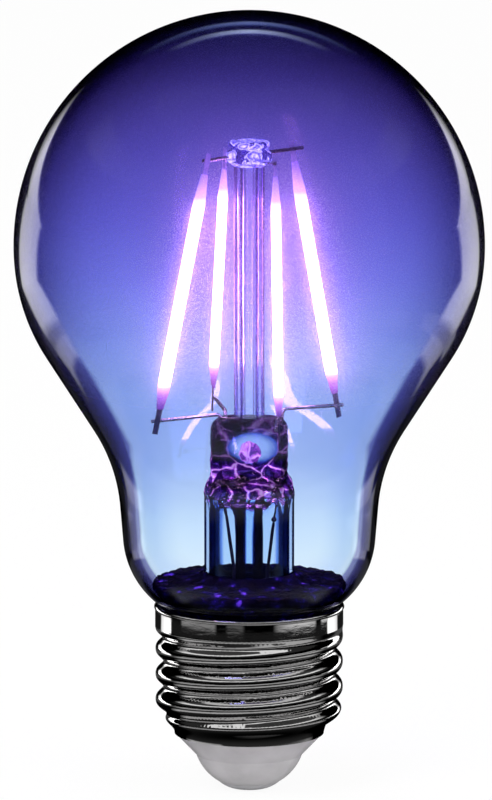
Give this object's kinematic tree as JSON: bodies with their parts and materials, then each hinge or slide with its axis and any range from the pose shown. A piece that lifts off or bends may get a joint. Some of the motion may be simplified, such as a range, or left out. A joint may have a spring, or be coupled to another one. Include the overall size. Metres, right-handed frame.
{
  "type": "led filament bulb",
  "caption": "Clear pear-shaped filament lamp: blown glass on a screw cap, with a glass stem, light strips on wires and the driver in the cap.",
  "frame": {"origin": "centre of the flat end of the centre contact, at the bottom of the cap", "axes": "+Z along the axis of the cap and the glass, towards the crown; -Y is the side that the picture shows, +X to its right"},
  "size_m": [0.0658, 0.0658, 0.1098],
  "materials": {
    "clear_glass": "clear, blown",
    "stem_glass": "clear, pressed",
    "cap_metal": "bright nickel plate",
    "insulator": "smooth grey moulding",
    "contact_metal": "satin plate",
    "cement": "rough, dark",
    "sleeve": "moulded",
    "board": "lacquered board",
    "chip_case": "moulded",
    "capacitor_can": "sleeved can",
    "resistor_body": "lacquered",
    "lead_copper": "tinned copper",
    "nickel_wire": "drawn nickel wire",
    "light_strip": "coated, lit",
    "tab_metal": "stamped"
  },
  "bodies": {
    "root": {"glass_envelope": "clear_glass", "stem_flare": "stem_glass", "exhaust_tube": "stem_glass", "stem_column": "stem_glass", "column_crown": "stem_glass", "screw_shell": "cap_metal", "insulator": "insulator", "centre_contact": "contact_metal", "base_cement": "cement", "neck_cement": "cement", "driver_sleeve": "sleeve", "driver_board": "board", "bridge_rectifier": "chip_case", "driver_chip": "chip_case", "smoothing_capacitor": "capacitor_can", "fuse_resistor": "resistor_body", "neutral_wire": "lead_copper", "live_wire": "lead_copper", "seal_wire_left": "lead_copper", "outer_lead_left": "lead_copper", "seal_wire_right": "lead_copper", "outer_lead_right": "lead_copper", "top_wire_left_right": "nickel_wire", "top_wire_front_back": "nickel_wire", "support_wire_left": "nickel_wire", "filament_left": "light_strip", "lower_tab_left": "tab_metal", "upper_tab_left": "tab_metal", "support_wire_front": "nickel_wire", "filament_front": "light_strip", "lower_tab_front": "tab_metal", "upper_tab_front": "tab_metal", "support_wire_right": "nickel_wire", "filament_right": "light_strip", "lower_tab_right": "tab_metal", "upper_tab_right": "tab_metal", "support_wire_back": "nickel_wire", "filament_back": "light_strip", "lower_tab_back": "tab_metal", "upper_tab_back": "tab_metal"}
  },
  "joints": []
}
